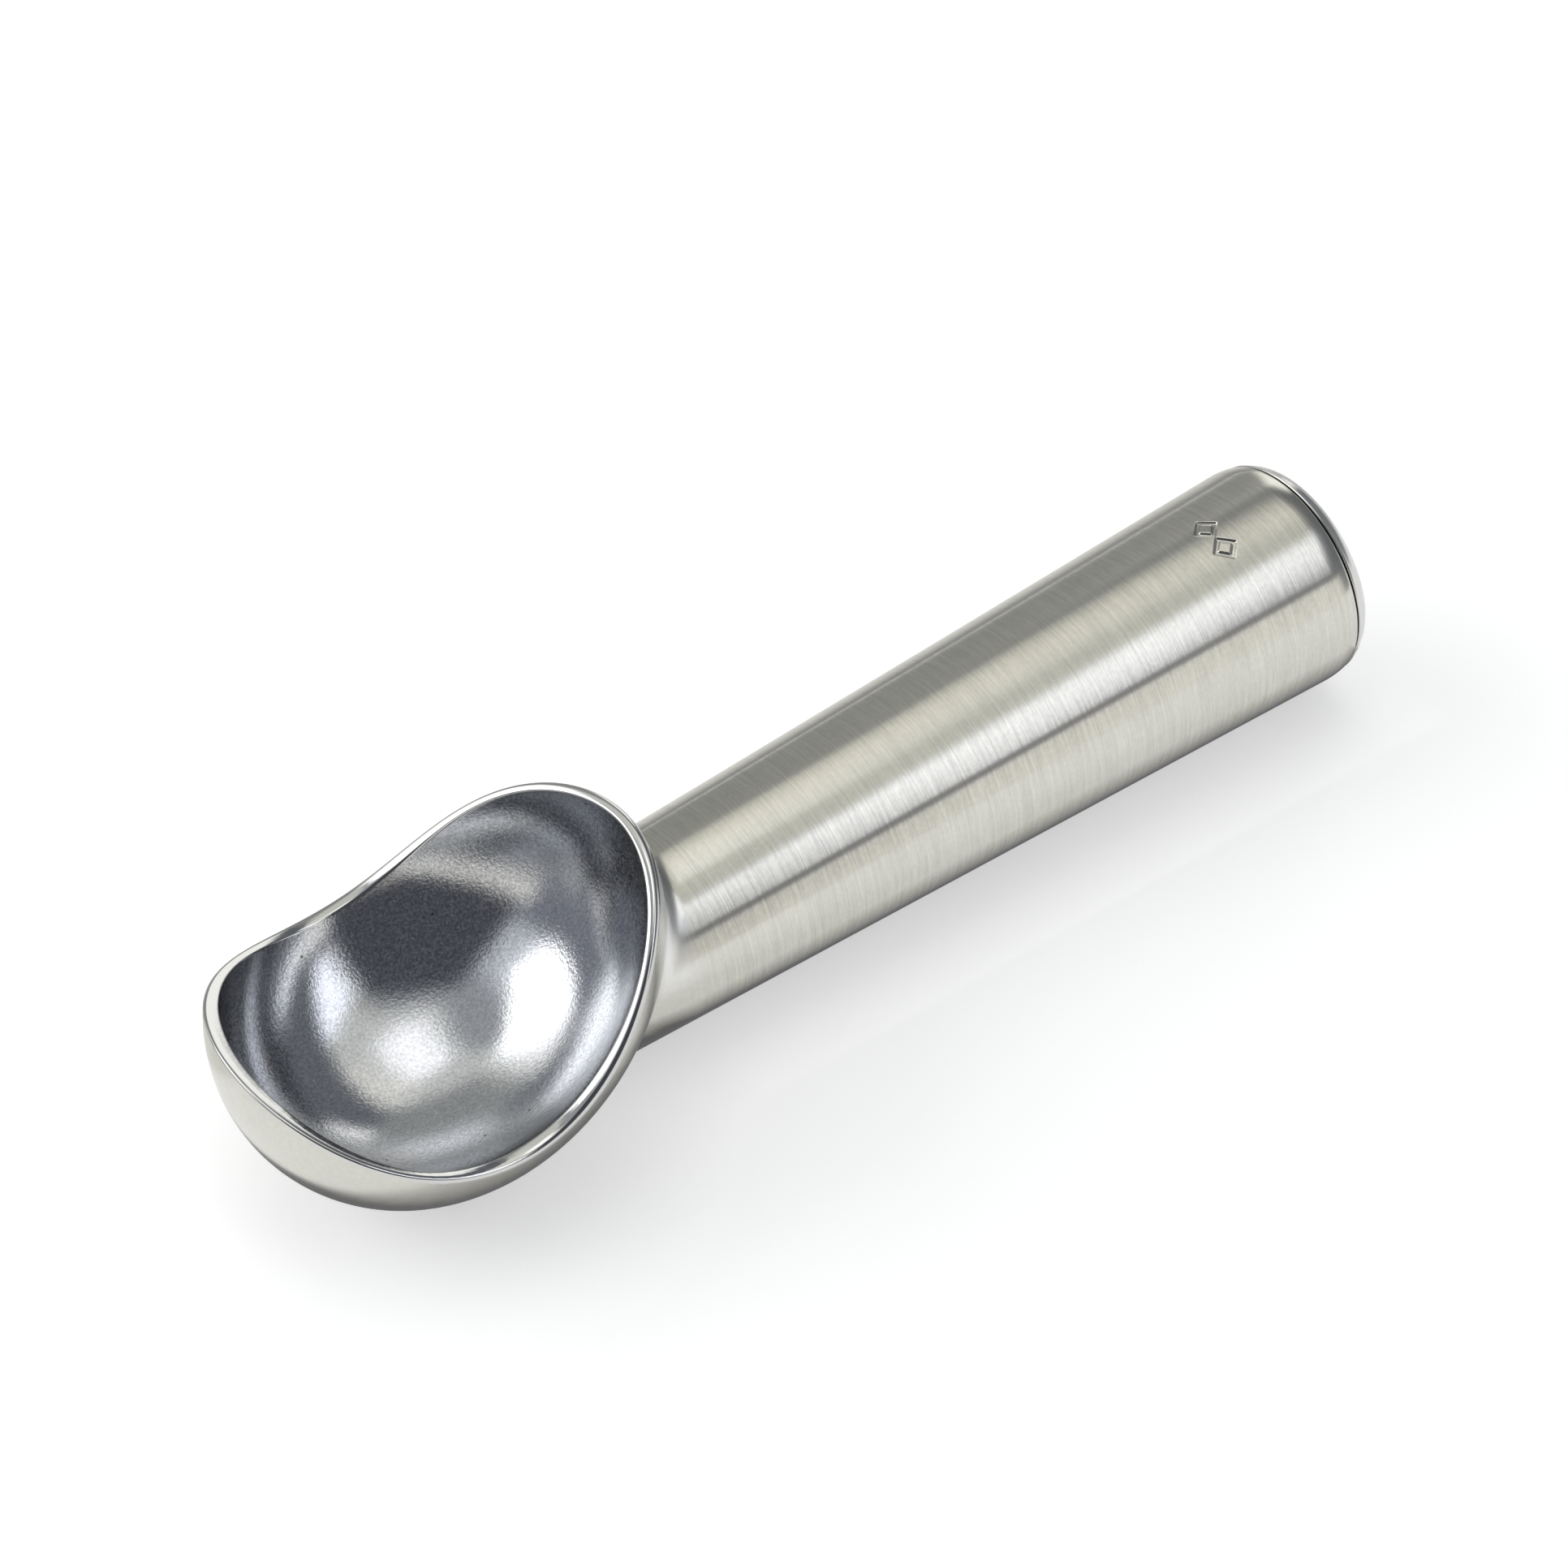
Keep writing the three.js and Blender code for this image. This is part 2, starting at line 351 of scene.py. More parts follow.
def rim_rings(bowl_turns):
    """From just under the outer edge, over the flat land, to just inside the cup."""
    outer = from_bowl(bowl_point(bowl_turns, rim_lift(bowl_point, bowl_turns)))
    outer_low = from_bowl(bowl_point(bowl_turns, rim_lift(bowl_point, bowl_turns, RIM_ROUND)))
    inner = from_bowl(cup_point(bowl_turns, rim_lift(cup_point, bowl_turns)))
    inner_low = from_bowl(cup_point(bowl_turns, rim_lift(cup_point, bowl_turns, RIM_ROUND_INSIDE)))
    across = unit(inner - outer)
    land_out = outer + across * RIM_ROUND
    land_in = inner - across * RIM_ROUND_INSIDE
    flat = [land_out + (land_in - land_out) * s for s in (0.0, 0.25, 0.5, 0.75, 1.0)]
    return np.concatenate([
        bend(outer_low, outer, land_out, 5),
        np.stack(flat),
        bend(land_in, inner, inner_low, 5),
        inner_low[None],
    ])


def cup_rings(bowl_turns, rings):
    """From just inside the rim down to a tiny ring round the middle of the cup's floor."""
    top = rim_lift(cup_point, bowl_turns, RIM_ROUND_INSIDE)
    down = np.linspace(0, 0.998, rings)[1:, None]
    lift = top + (-math.pi / 2 - top) * down
    return from_bowl(cup_point(np.broadcast_to(bowl_turns, lift.shape), lift))


def lozenge_depth(x, turns):
    """Depth of the engraved mark: the outlines of two lozenges side by side."""
    depth = np.zeros_like(turns)
    arc = (np.mod(turns - MARK_TURN + math.pi, 2 * math.pi) - math.pi) * handle_radius(np.array(MARK_X))
    for offset in (-MARK_PITCH / 2, MARK_PITCH / 2):
        line = (np.abs(x - MARK_X) + np.abs(arc - offset) - MARK_SIZE / 2 + MARK_LINE / 2) / math.sqrt(2)
        wall = np.clip((MARK_LINE / 2 - np.abs(line)) / MARK_WALL + 0.5, 0, 1)
        depth = np.maximum(depth, ease(wall))
    return MARK_DEPTH * depth


def handle_rings(turns):
    """From the neck to the joint with the cap, then back down the bore to its blind end."""
    mark_reach = MARK_SIZE / 2 + MARK_MARGIN
    stretches = [
        (WEB_NECK, MARK_X - mark_reach, HANDLE_RINGS),
        (MARK_X - mark_reach, MARK_X + mark_reach, MARK_RINGS),
        (MARK_X + mark_reach, HANDLE_LENGTH - END_ROUND_LENGTH, LAST_RINGS),
        (HANDLE_LENGTH - END_ROUND_LENGTH, BODY_END - SEAM_ROUND, END_RINGS),
    ]
    outside = np.concatenate([np.linspace(a, b, count)[1:] for a, b, count in stretches])
    rings = [ring_points(x, handle_radius(x) - lozenge_depth(x, turns), turns) for x in outside]
    edge = handle_radius(np.array(BODY_END))
    for angle in np.linspace(0, math.pi / 2, 7)[1:]:
        x = BODY_END - SEAM_ROUND + SEAM_ROUND * math.sin(angle)
        rings.append(ring_points(x, edge - SEAM_ROUND * (1 - math.cos(angle)), turns))
    for x in np.linspace(BODY_END, BORE_START + BORE_FLOOR_ROUND, 4):
        rings.append(ring_points(x, bore_radius(x), turns))
    for angle in np.linspace(0, math.pi / 2, 6)[1:]:
        x = BORE_START + BORE_FLOOR_ROUND * (1 - math.sin(angle))
        radius = bore_radius(x) - BORE_FLOOR_ROUND * (1 - math.cos(angle))
        rings.append(ring_points(x, radius, turns))
    return np.stack(rings)


# ---- Meshes ----------------------------------------------------------------------------------------------

def mesh_piece(name, points, faces, ups, materials, face_materials=None):
    """A smooth-shaded piece. Its UV map runs along the piece (U, in metres) and around it (V, in turns)."""
    mesh = bpy.data.meshes.new(name)
    mesh.from_pydata(points.tolist(), [], faces)
    for material in materials:
        mesh.materials.append(material)
    if face_materials is not None:
        mesh.polygons.foreach_set("material_index", face_materials)
    mesh.polygons.foreach_set("use_smooth", np.ones(len(mesh.polygons), bool))
    mesh.uv_layers.new(name="brush").data.foreach_set("uv", ups.ravel())
    mesh.update()
    piece = bpy.data.objects.new(name, mesh)
    bpy.context.scene.collection.objects.link(piece)
    return piece


def closed_rings(rings):
    """Closed surface through rings of equal count, its ends filled to a middle: points, faces and UVs."""
    count, columns = rings.shape[:2]
    points = rings.reshape(-1, 3)
    i = np.arange(count - 1)[:, None] * columns
    k = np.arange(columns)[None]
    after = (k + 1) % columns
    quads = np.stack([i + k, i + after, i + columns + after, i + columns + k], -1).reshape(-1, 4)
    step = np.linalg.norm(np.diff(rings, axis=0), axis=-1).mean(1) * MM
    run = np.concatenate([[0.0], np.cumsum(step)])
    shape = (count - 1, columns)
    low = np.broadcast_to(run[:-1, None], shape)
    high = np.broadcast_to(run[1:, None], shape)
    near = np.broadcast_to(k / columns, shape)
    far = near + 1 / columns
    corners = [(low, near), (low, far), (high, far), (high, near)]
    ups = np.stack([np.stack(c, -1) for c in corners], 2).reshape(-1, 2)
    first, last = len(points), len(points) + 1
    points = np.concatenate([points, rings[0].mean(0)[None], rings[-1].mean(0)[None]])
    base = (count - 1) * columns
    ends = [[first, (j + 1) % columns, j] for j in range(columns)]
    ends += [[last, base + j, base + (j + 1) % columns] for j in range(columns)]
    end_ups = [(0.0, (j + o) / columns) for j in range(columns) for o in (0.5, 1, 0)]
    end_ups += [(run[-1], (j + o) / columns) for j in range(columns) for o in (0.5, 0, 1)]
    return points, quads.tolist() + ends, np.concatenate([ups, np.array(end_ups)])


def casting(materials):
    """The one-piece casting. Its rings run cup floor, rim, bowl outside, neck, handle, seam, bore."""
    turns = column_turns()
    outside, bowl_turns = bowl_outside(turns, BOWL_RINGS)
    cup = cup_rings(bowl_turns, CUP_RINGS)[::-1]
    rim = rim_rings(bowl_turns)[::-1]
    handle = handle_rings(turns)
    rings = np.concatenate([cup, rim, outside[::-1], handle])
    points, faces, ups = closed_rings(rings)
    zone = np.repeat([0, 1, 2], [len(cup), len(rim) + 1, len(rings) - len(cup) - len(rim) - 2])
    face_zone = np.concatenate([np.repeat(zone, COLUMNS), np.full(COLUMNS, 0), np.full(COLUMNS, 2)])
    return mesh_piece("casting", to_row(points), faces, ups, materials, face_zone.astype(np.int32))


def turned(name, profile, material):
    """A turned piece about the handle's axis, from its outline of (x, radius), ends on the axis."""
    turns = np.arange(COLUMNS) * 2 * math.pi / COLUMNS
    rings = np.stack([ring_points(x, radius, turns) for x, radius in profile])
    points, faces, ups = closed_rings(rings)
    return mesh_piece(name, to_row(points), faces, ups, [material])


def spigot_outline():
    """Outline of the spigot that plugs the bore, with the groove that the seal ring sits in."""
    start = BODY_END - SPIGOT_LENGTH
    groove_start = BODY_END - GROOVE_START - GROOVE_WIDTH
    groove_end = BODY_END - GROOVE_START
    groove_floor = bore_radius(groove_start) - GAP - GROOVE_DEPTH
    return [
        (start, 1.0),
        (start, bore_radius(start) - GAP - CHAMFER),
        (start + CHAMFER, bore_radius(start) - GAP),
        (groove_start, bore_radius(groove_start) - GAP),
        (groove_start, groove_floor),
        (groove_end, groove_floor),
        (groove_end, bore_radius(groove_end) - GAP),
        (CAP_START, bore_radius(groove_end) - GAP),
    ]


def cap(material):
    """Cap: a rounded flange that carries on the handle's outline, and the grooved spigot behind it."""
    edge = float(handle_radius(np.array(CAP_START)))
    profile = spigot_outline()
    profile.append((CAP_START, edge - SEAM_ROUND))
    for angle in np.linspace(0, math.pi / 2, 7)[1:]:
        x = CAP_START + SEAM_ROUND * (1 - math.cos(angle))
        profile.append((x, edge - SEAM_ROUND * (1 - math.sin(angle))))
    into = np.sin(np.linspace(0, math.pi / 2, 24))
    first = (CAP_START + SEAM_ROUND - HANDLE_LENGTH + END_ROUND_LENGTH) / END_ROUND_LENGTH
    for s in into[into > first]:
        x = HANDLE_LENGTH - END_ROUND_LENGTH + END_ROUND_LENGTH * s
        profile.append((x, float(handle_radius(np.array(x)))))
    face = profile[-1][1]
    profile += [(HANDLE_LENGTH, face * s) for s in (0.97, 0.7, 0.4, 0.1)]
    return turned("cap", profile[::-1], material)


# ---- Materials -------------------------------------------------------------------------------------------

def new_material(name, colour, metallic, roughness):
    """A material, its node tree and its shader."""
    material = bpy.data.materials.new(name)
    material.use_nodes = True
    shader = material.node_tree.nodes["Principled BSDF"]
    shader.inputs["Base Color"].default_value = (*colour, 1)
    shader.inputs["Metallic"].default_value = metallic
    shader.inputs["Roughness"].default_value = roughness
    return material, material.node_tree, shader


def node(tree, kind, **inputs):
    """A node with some of its inputs set by name."""
    made = tree.nodes.new(kind)
    for key, value in inputs.items():
        made.inputs[key.replace("_", " ")].default_value = value
    return made


def math_node(tree, operation, a, b=None, c=None):
    """Output of a maths node, whose inputs are numbers or other nodes' outputs."""
    made = tree.nodes.new("ShaderNodeMath")
    made.operation = operation
    for socket, value in zip(made.inputs, (a, b, c)):
        if isinstance(value, (int, float)):
            socket.default_value = value
        elif value is not None:
            tree.links.new(value, socket)
    return made.outputs[0]


def dot_with(tree, vector, fixed):
    """Distance of a vector along a fixed direction."""
    made = tree.nodes.new("ShaderNodeVectorMath")
    made.operation = "DOT_PRODUCT"
    tree.links.new(vector, made.inputs[0])
    made.inputs[1].default_value = fixed
    return made.outputs["Value"]


def object_place(tree):
    return tree.nodes.new("ShaderNodeTexCoord").outputs["Object"]


def noise(tree, vector, scale, detail=2.0, roughness=0.5):
    made = node(tree, "ShaderNodeTexNoise", Scale=scale, Detail=detail, Roughness=roughness)
    tree.links.new(vector, made.inputs["Vector"])
    return made.outputs["Fac"]


def spread(tree, value, low, high, start=0.3, end=0.7):
    """Maps a value from start..end to low..high, held at the ends."""
    made = tree.nodes.new("ShaderNodeMapRange")
    tree.links.new(value, made.inputs["Value"])
    for key, number in (("From Min", start), ("From Max", end), ("To Min", low), ("To Max", high)):
        made.inputs[key].default_value = number
    return made.outputs["Result"]


def tint(tree, share, under, over):
    """Colour from under, where share is 0, to over, where it is 1. Under is a fixed colour or an output."""
    made = tree.nodes.new("ShaderNodeMix")
    made.data_type = "RGBA"
    tree.links.new(share, made.inputs[0])
    if isinstance(under, tuple):
        made.inputs[6].default_value = (*under, 1)
    else:
        tree.links.new(under, made.inputs[6])
    made.inputs[7].default_value = (*over, 1)
    return made.outputs[2]


def bump(tree, height, distance, under=None):
    made = node(tree, "ShaderNodeBump", Strength=1.0, Distance=distance)
    tree.links.new(height, made.inputs["Height"])
    if under is not None:
        tree.links.new(under, made.inputs["Normal"])
    return made.outputs["Normal"]


def pits(tree, place, scale, size):
    """1 on small scattered round spots about size across, 0 elsewhere."""
    cells = node(tree, "ShaderNodeTexVoronoi", Scale=scale)
    tree.links.new(place, cells.inputs["Vector"])
    chance = tree.nodes.new("ShaderNodeSeparateColor")
    tree.links.new(cells.outputs["Color"], chance.inputs["Color"])
    near = math_node(tree, "LESS_THAN", cells.outputs["Distance"], size * scale)
    return math_node(tree, "MULTIPLY", near, math_node(tree, "GREATER_THAN", chance.outputs[0], 0.8))


def cup_material():
    """Inside of the bowl: bright as-cast skin, sandy and a little patchy, with a few tiny pits."""
    material, tree, shader = new_material("cast_cup", (0.62, 0.63, 0.65), 0.95, 0.09)
    place = object_place(tree)
    sand = noise(tree, place, 2400, 3, 0.65)
    waves = noise(tree, place, 420, 2, 0.5)
    specks = pits(tree, place, 320, 0.00022)
    grain = tint(tree, spread(tree, sand, 0, 1), (0.47, 0.48, 0.50), (0.70, 0.71, 0.73))
    tree.links.new(tint(tree, specks, grain, (0.2, 0.19, 0.18)), shader.inputs["Base Color"])
    tree.links.new(spread(tree, sand, 0.10, 0.05), shader.inputs["Roughness"])
    skin = noise(tree, place, 2500, 2, 0.6)
    tree.links.new(spread(tree, skin, 0.86, 1.0, 0.35, 0.6), shader.inputs["Metallic"])
    sunk = math_node(tree, "MULTIPLY_ADD", specks, -1.0, sand)
    tree.links.new(bump(tree, sunk, 0.000027, bump(tree, waves, 0.00001)), shader.inputs["Normal"])
    return material


def brushed_material():
    """Outside of the casting: fine lines round the handle, a neck with a rougher ground finish that is
    painted brighter on its top side only as a painted highlight, and a satin bowl.
    """
    material, tree, shader = new_material("brushed_casting", (0.6, 0.59, 0.54), 1.0, 0.22)
    shader.inputs["Anisotropic"].default_value = 0.65
    tangent = tree.nodes.new("ShaderNodeTangent")
    tangent.direction_type = "UV_MAP"
    tangent.uv_map = "brush"
    tree.links.new(tangent.outputs["Tangent"], shader.inputs["Tangent"])
    place = object_place(tree)
    along = dot_with(tree, place, AXES[0])
    stretch = tree.nodes.new("ShaderNodeCombineXYZ")
    tree.links.new(math_node(tree, "MULTIPLY", along, 22), stretch.inputs[0])
    tree.links.new(dot_with(tree, place, AXES[1]), stretch.inputs[1])
    tree.links.new(dot_with(tree, place, AXES[2]), stretch.inputs[2])
    lines = noise(tree, stretch.outputs[0], 100, 4, 0.75)
    start = float(ORIGIN @ AXES[0])
    on_handle = spread(tree, along, 0, 1, start + 0.002, start + 0.012)
    sand = noise(tree, place, 1500, 3, 0.65)
    blotch = noise(tree, place, 160, 3, 0.6)
    brushed = math_node(tree, "MULTIPLY", math_node(tree, "SUBTRACT", lines, 0.5), on_handle)
    mottle = math_node(tree, "MULTIPLY_ADD", sand, 0.35, math_node(tree, "MULTIPLY_ADD", blotch, 0.15, 0.25))
    tone = math_node(tree, "MULTIPLY_ADD", brushed, 0.9, mottle)
    shade = tint(tree, spread(tree, tone, 0, 1, 0.34, 0.66), (0.56, 0.55, 0.505), (0.67, 0.66, 0.60))
    # Painted highlight: the neck's top side is painted a much brighter colour, and made rougher as a ground
    # finish.
    before = spread(tree, along, 0, 1, start - 0.004, start)
    level = float(ORIGIN @ AXES[2])
    painted_highlight_top = spread(tree, dot_with(tree, place, AXES[2]), 0, 1, level + 0.003, level + 0.009)
    ground_finish_and_highlight = math_node(tree, "MULTIPLY", before, spread(tree, along, 1, 0, start + 0.004, start + 0.008))
    ground_finish_and_highlight = math_node(tree, "MULTIPLY", ground_finish_and_highlight, painted_highlight_top)
    tree.links.new(tint(tree, ground_finish_and_highlight, shade, (0.85, 0.85, 0.84)), shader.inputs["Base Color"])
    rough = math_node(tree, "MULTIPLY_ADD", ground_finish_and_highlight, 0.2, spread(tree, tone, 0.20, 0.17, 0.34, 0.66))
    tree.links.new(rough, shader.inputs["Roughness"])
    height = math_node(tree, "MULTIPLY_ADD", brushed, 1.0, math_node(tree, "MULTIPLY", sand, 0.15))
    tree.links.new(bump(tree, height, 0.00001), shader.inputs["Normal"])
    return material


def polished_material(name, colour, roughness):
    """Ground and polished edge: nearly a mirror, with faint haze."""
    material, tree, shader = new_material(name, colour, 1.0, roughness)
    place = object_place(tree)
    haze = noise(tree, place, 900, 3, 0.6)
    tree.links.new(spread(tree, haze, roughness * 0.7, roughness * 1.4), shader.inputs["Roughness"])
    tree.links.new(bump(tree, haze, 0.00001), shader.inputs["Normal"])
    return material


def turned_material():
    """Cap: turned metal, with fine rings about the handle's axis on its face and edge."""
    material, tree, shader = new_material("turned_cap", (0.64, 0.635, 0.62), 1.0, 0.2)
    place = object_place(tree)
    radius = tree.nodes.new("ShaderNodeVectorMath")
    radius.operation = "LENGTH"
    off_axis = tree.nodes.new("ShaderNodeCombineXYZ")
    for socket, axis in zip(off_axis.inputs, (AXES[1], AXES[2])):
        shift = -float(ORIGIN @ axis)
        tree.links.new(math_node(tree, "ADD", dot_with(tree, place, axis), shift), socket)
    tree.links.new(off_axis.outputs[0], radius.inputs[0])
    rings = tree.nodes.new("ShaderNodeCombineXYZ")
    tree.links.new(radius.outputs["Value"], rings.inputs[0])
    tree.links.new(dot_with(tree, place, AXES[0]), rings.inputs[1])
    lines = noise(tree, rings.outputs[0], 2600, 3, 0.7)
    haze = noise(tree, place, 220, 3, 0.6)
    tone = math_node(tree, "MULTIPLY_ADD", lines, 0.6, math_node(tree, "MULTIPLY", haze, 0.4))
    shade = tint(tree, spread(tree, tone, 0, 1, 0.36, 0.64), (0.58, 0.575, 0.56), (0.69, 0.685, 0.67))
    tree.links.new(shade, shader.inputs["Base Color"])
    tree.links.new(spread(tree, tone, 0.24, 0.16, 0.36, 0.64), shader.inputs["Roughness"])
    tree.links.new(bump(tree, lines, 0.000008), shader.inputs["Normal"])
    return material


def rubber_material():
    """Seal ring: dull black rubber with a slight bloom."""
    material, tree, shader = new_material("seal_rubber", (0.03, 0.03, 0.032), 0.0, 0.7)
    bloom = noise(tree, object_place(tree), 600, 4, 0.6)
    shade = tint(tree, spread(tree, bloom, 0, 1), (0.02, 0.02, 0.022), (0.05, 0.05, 0.052))
    tree.links.new(shade, shader.inputs["Base Color"])
    tree.links.new(spread(tree, bloom, 0.6, 0.8), shader.inputs["Roughness"])
    tree.links.new(bump(tree, bloom, 0.00002), shader.inputs["Normal"])
    return material


def liquid_material():
    """Sealed heat-carrying liquid: clear, faintly yellow, with slight cloudiness."""
    material, tree, shader = new_material("heat_liquid", (0.9, 0.85, 0.6), 0.0, 0.04)
    shader.inputs["IOR"].default_value = 1.4
    shader.inputs["Transmission Weight"].default_value = 0.9
    cloud = noise(tree, object_place(tree), 60, 3, 0.5)
    shade = tint(tree, spread(tree, cloud, 0, 1), (0.86, 0.8, 0.5), (0.93, 0.89, 0.68))
    tree.links.new(shade, shader.inputs["Base Color"])
    tree.links.new(spread(tree, cloud, 0.03, 0.06), shader.inputs["Roughness"])
    return material


# ---- Build -----------------------------------------------------------------------------------------------

body = casting([cup_material(), polished_material("polished_rim", (0.6, 0.6, 0.59), 0.1), brushed_material()])
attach(body, "root")
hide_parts("scoop_body")
end_cap = cap(turned_material())
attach(end_cap, "root")
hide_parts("end_cap")
frame["nodes"]["cap_seal_ring"].material_slots[0].material = rubber_material()
frame["nodes"]["heat_fluid"].material_slots[0].material = liquid_material()

# ---- Floor, light and camera -----------------------------------------------------------------------------

FLOOR_REACH = 4.0
FLOOR_GLOW = 0.45
BACKDROP_RADIUS = 5.5
BACKDROP_COLUMNS = 48
BACKDROP_LIFTS = (-4, 15, 35, 55, 75, 89)
BACKDROP_GLOW = 0.95

# The floor's brightness as the metal sees it, which the painted shade cards fade to at their sides.
FLOOR_SHINE = (0.88, 0.88, 0.86)
CARD_HEIGHT = 0.00002


def stage_piece(name, points, faces, material, passed_by=()):
    """An object that isn't part of the dipper, and the kinds of ray that pass it by."""
    mesh = bpy.data.meshes.new(name)
    mesh.from_pydata(points, [], faces)
    mesh.materials.append(material)
    made = bpy.data.objects.new(name, mesh)
    for ray in passed_by:
        setattr(made, "visible_" + ray, False)
    bpy.context.scene.collection.objects.link(made)
    return mesh


def glowing_material(name, colour, roughness, glow):
    """Plain material that gives off some white light of its own."""
    material, _, shader = new_material(name, colour, 0.0, roughness)
    shader.inputs["Emission Color"].default_value = (1, 1, 1, 1)
    shader.inputs["Emission Strength"].default_value = glow
    return material


def floor():
    """Plain pale floor, lit up a little so that it comes out nearly white."""
    a = FLOOR_REACH
    corners = [(-a, -a, 0), (a, -a, 0), (a, a, 0), (-a, a, 0)]
    material = glowing_material("pale_floor", (0.9, 0.9, 0.9), 0.7, FLOOR_GLOW)
    stage_piece("floor", corners, [(0, 1, 2, 3)], material)


def backdrop():
    """Pale dome that only the camera sees, behind the floor's far edge in low views."""
    turns = np.linspace(0, 2 * math.pi, BACKDROP_COLUMNS, endpoint=False)
    lifts = np.radians(BACKDROP_LIFTS)[:, None]
    ahead = np.cos(lifts) * np.cos(turns)
    points = np.stack([ahead, np.cos(lifts) * np.sin(turns), np.sin(lifts) + 0 * turns], -1).reshape(-1, 3)
    count = len(turns)
    faces = [
        (i * count + k, i * count + (k + 1) % count, (i + 1) * count + (k + 1) % count, (i + 1) * count + k)
        for i in range(len(lifts) - 1) for k in range(count)
    ]
    material = glowing_material("pale_backdrop", (0, 0, 0), 1.0, BACKDROP_GLOW)
    unseen = ("diffuse", "glossy", "transmission", "shadow")
    stage_piece("backdrop", (points * BACKDROP_RADIUS).tolist(), faces, material, unseen)


def look(azimuth, lift):
    """Unit vector towards a compass azimuth (0 is +X, growing towards +Y) and a height, in degrees."""
    a, e = math.radians(azimuth), math.radians(lift)
    return Vector((math.cos(a) * math.cos(e), math.sin(a) * math.cos(e), math.sin(e)))


def soft_step(tree, value, edge, softness):
    """1 where value is under edge, 0 where it is over, with a soft change between."""
    made = tree.nodes.new("ShaderNodeMapRange")
    made.interpolation_type = "SMOOTHSTEP"
    tree.links.new(value, made.inputs["Value"])
    made.inputs["From Min"].default_value = edge + softness
    made.inputs["From Max"].default_value = edge - softness
    return made.outputs["Result"]


def panel_mask(tree, way, azimuth, lift, edges, softness):
    """1 inside a flat panel square to a direction, with its left, right, low and high edges as angles."""
    facing = look(azimuth, lift)
    a = math.radians(azimuth)
    side = Vector((-math.sin(a), math.cos(a), 0))
    front = dot_with(tree, way, facing)
    ahead = math_node(tree, "MAXIMUM", front, 0.001)
    mask = math_node(tree, "GREATER_THAN", front, 0.001)
    across = (side, edges[0], edges[1], softness[0])
    upward = (facing.cross(side), edges[2], edges[3], softness[1])
    for axis, first, last, soft in (across, upward):
        low, high = math.tan(math.radians(first)), math.tan(math.radians(last))
        place = math_node(tree, "DIVIDE", dot_with(tree, way, axis), ahead)
        off = math_node(tree, "ABSOLUTE", math_node(tree, "SUBTRACT", place, (low + high) / 2))
        mask = math_node(tree, "MULTIPLY", mask, soft_step(tree, off, (high - low) / 2, soft))
    return mask


def studio_world():
    """Soft studio light from all round. Its panels are wide, so it needs no light sampling of its own."""
    world = bpy.data.worlds.new("studio")
    world.use_nodes = True
    tree = world.node_tree
    way = tree.nodes.new("ShaderNodeTexCoord").outputs["Generated"]
    colour = ROOM
    for azimuth, lift, edges, softness, level in PANELS.values():
        colour = tint(tree, panel_mask(tree, way, azimuth, lift, edges, softness), colour, level)
    tree.links.new(colour, tree.nodes["Background"].inputs["Color"])
    world.cycles.sampling_method = "NONE"
    bpy.context.scene.world = world


# The studio, as the dipper sees it: for each panel the direction it stands square to (azimuth, lift), its
# left, right, low and high edges as angles from there, how soft its sides and its ends are, and its colour.
ROOM = (0.78, 0.79, 0.75)
PANELS = {
    "ceiling_box": (0, 90, (-5, 25, -14, 7.5), (0.09, 0.09), (1.7, 1.7, 1.7)),
    "warm_bounce": (35, 60, (-16, 16, -6, 9), (0.12, 0.12), (1.05, 1.03, 0.95)),
    "front_band": (-69, 0, (-8, 8, -80, 72), (0.04, 0.3), (0.55, 0.55, 0.53)),
    "front_panel": (-46, 0, (-24, 24, -80, 58), (0.10, 0.15), (1.7, 1.73, 1.86)),
    "back_wall": (8, 0, (-70, 72, -80, 58), (0.10, 0.10), (0.16, 0.17, 0.19)),
    "back_wall_low": (-20, 0, (-38, 44, -80, 20), (0.10, 0.25), (0.27, 0.28, 0.30)),
    "back_wall_right": (68, 0, (-14, 30, -80, 49), (0.10, 0.12), (0.36, 0.37, 0.36)),
    "back_window": (42, 0, (-11, 11, -80, 32), (0.06, 0.10), (1.4, 1.4, 1.36)),
    "side_wall": (109, 0, (-6, 7, -80, 34), (0.06, 0.12), (1.3, 1.3, 1.28)),
    "dim_corner": (160, 0, (-46, 36, -80, 75), (0.15, 0.5), (0.42, 0.43, 0.45)),
    "left_glow": (174, 0, (-16, 16, -80, 52), (0.10, 0.15), (0.75, 0.78, 0.82)),
    "left_box": (137, 30, (-21, 22, -16, 17), (0.14, 0.10), (3.0, 3.0, 3.0)),
    "left_skirt": (-170, 0, (-72, 8, -80, 28), (0.06, 0.06), (0.24, 0.25, 0.29)),
    "front_shade": (-123, 0, (-51, 49, -80, 78), (0.10, 1.4), (0.38, 0.39, 0.41)),
    "front_dark": (-123, 0, (-48, 46, -80, 72), (0.05, 0.45), (0.08, 0.085, 0.10)),
    "front_low": (-95, 0, (-20, 19, -80, 10), (0.05, 0.05), (0.42, 0.40, 0.37)),
    "front_low_left": (170, 0, (14, 77, -80, 21), (0.06, 0.04), (1.0, 0.98, 0.92)),
    "front_step": (-65, 0, (-11, 14, -80, 20), (0.05, 0.06), (1.05, 1.04, 1.0)),
    "front_gap": (-65, 0, (-11, 14, 20.5, 27.5), (0.04, 0.03), (0.24, 0.24, 0.26)),
}


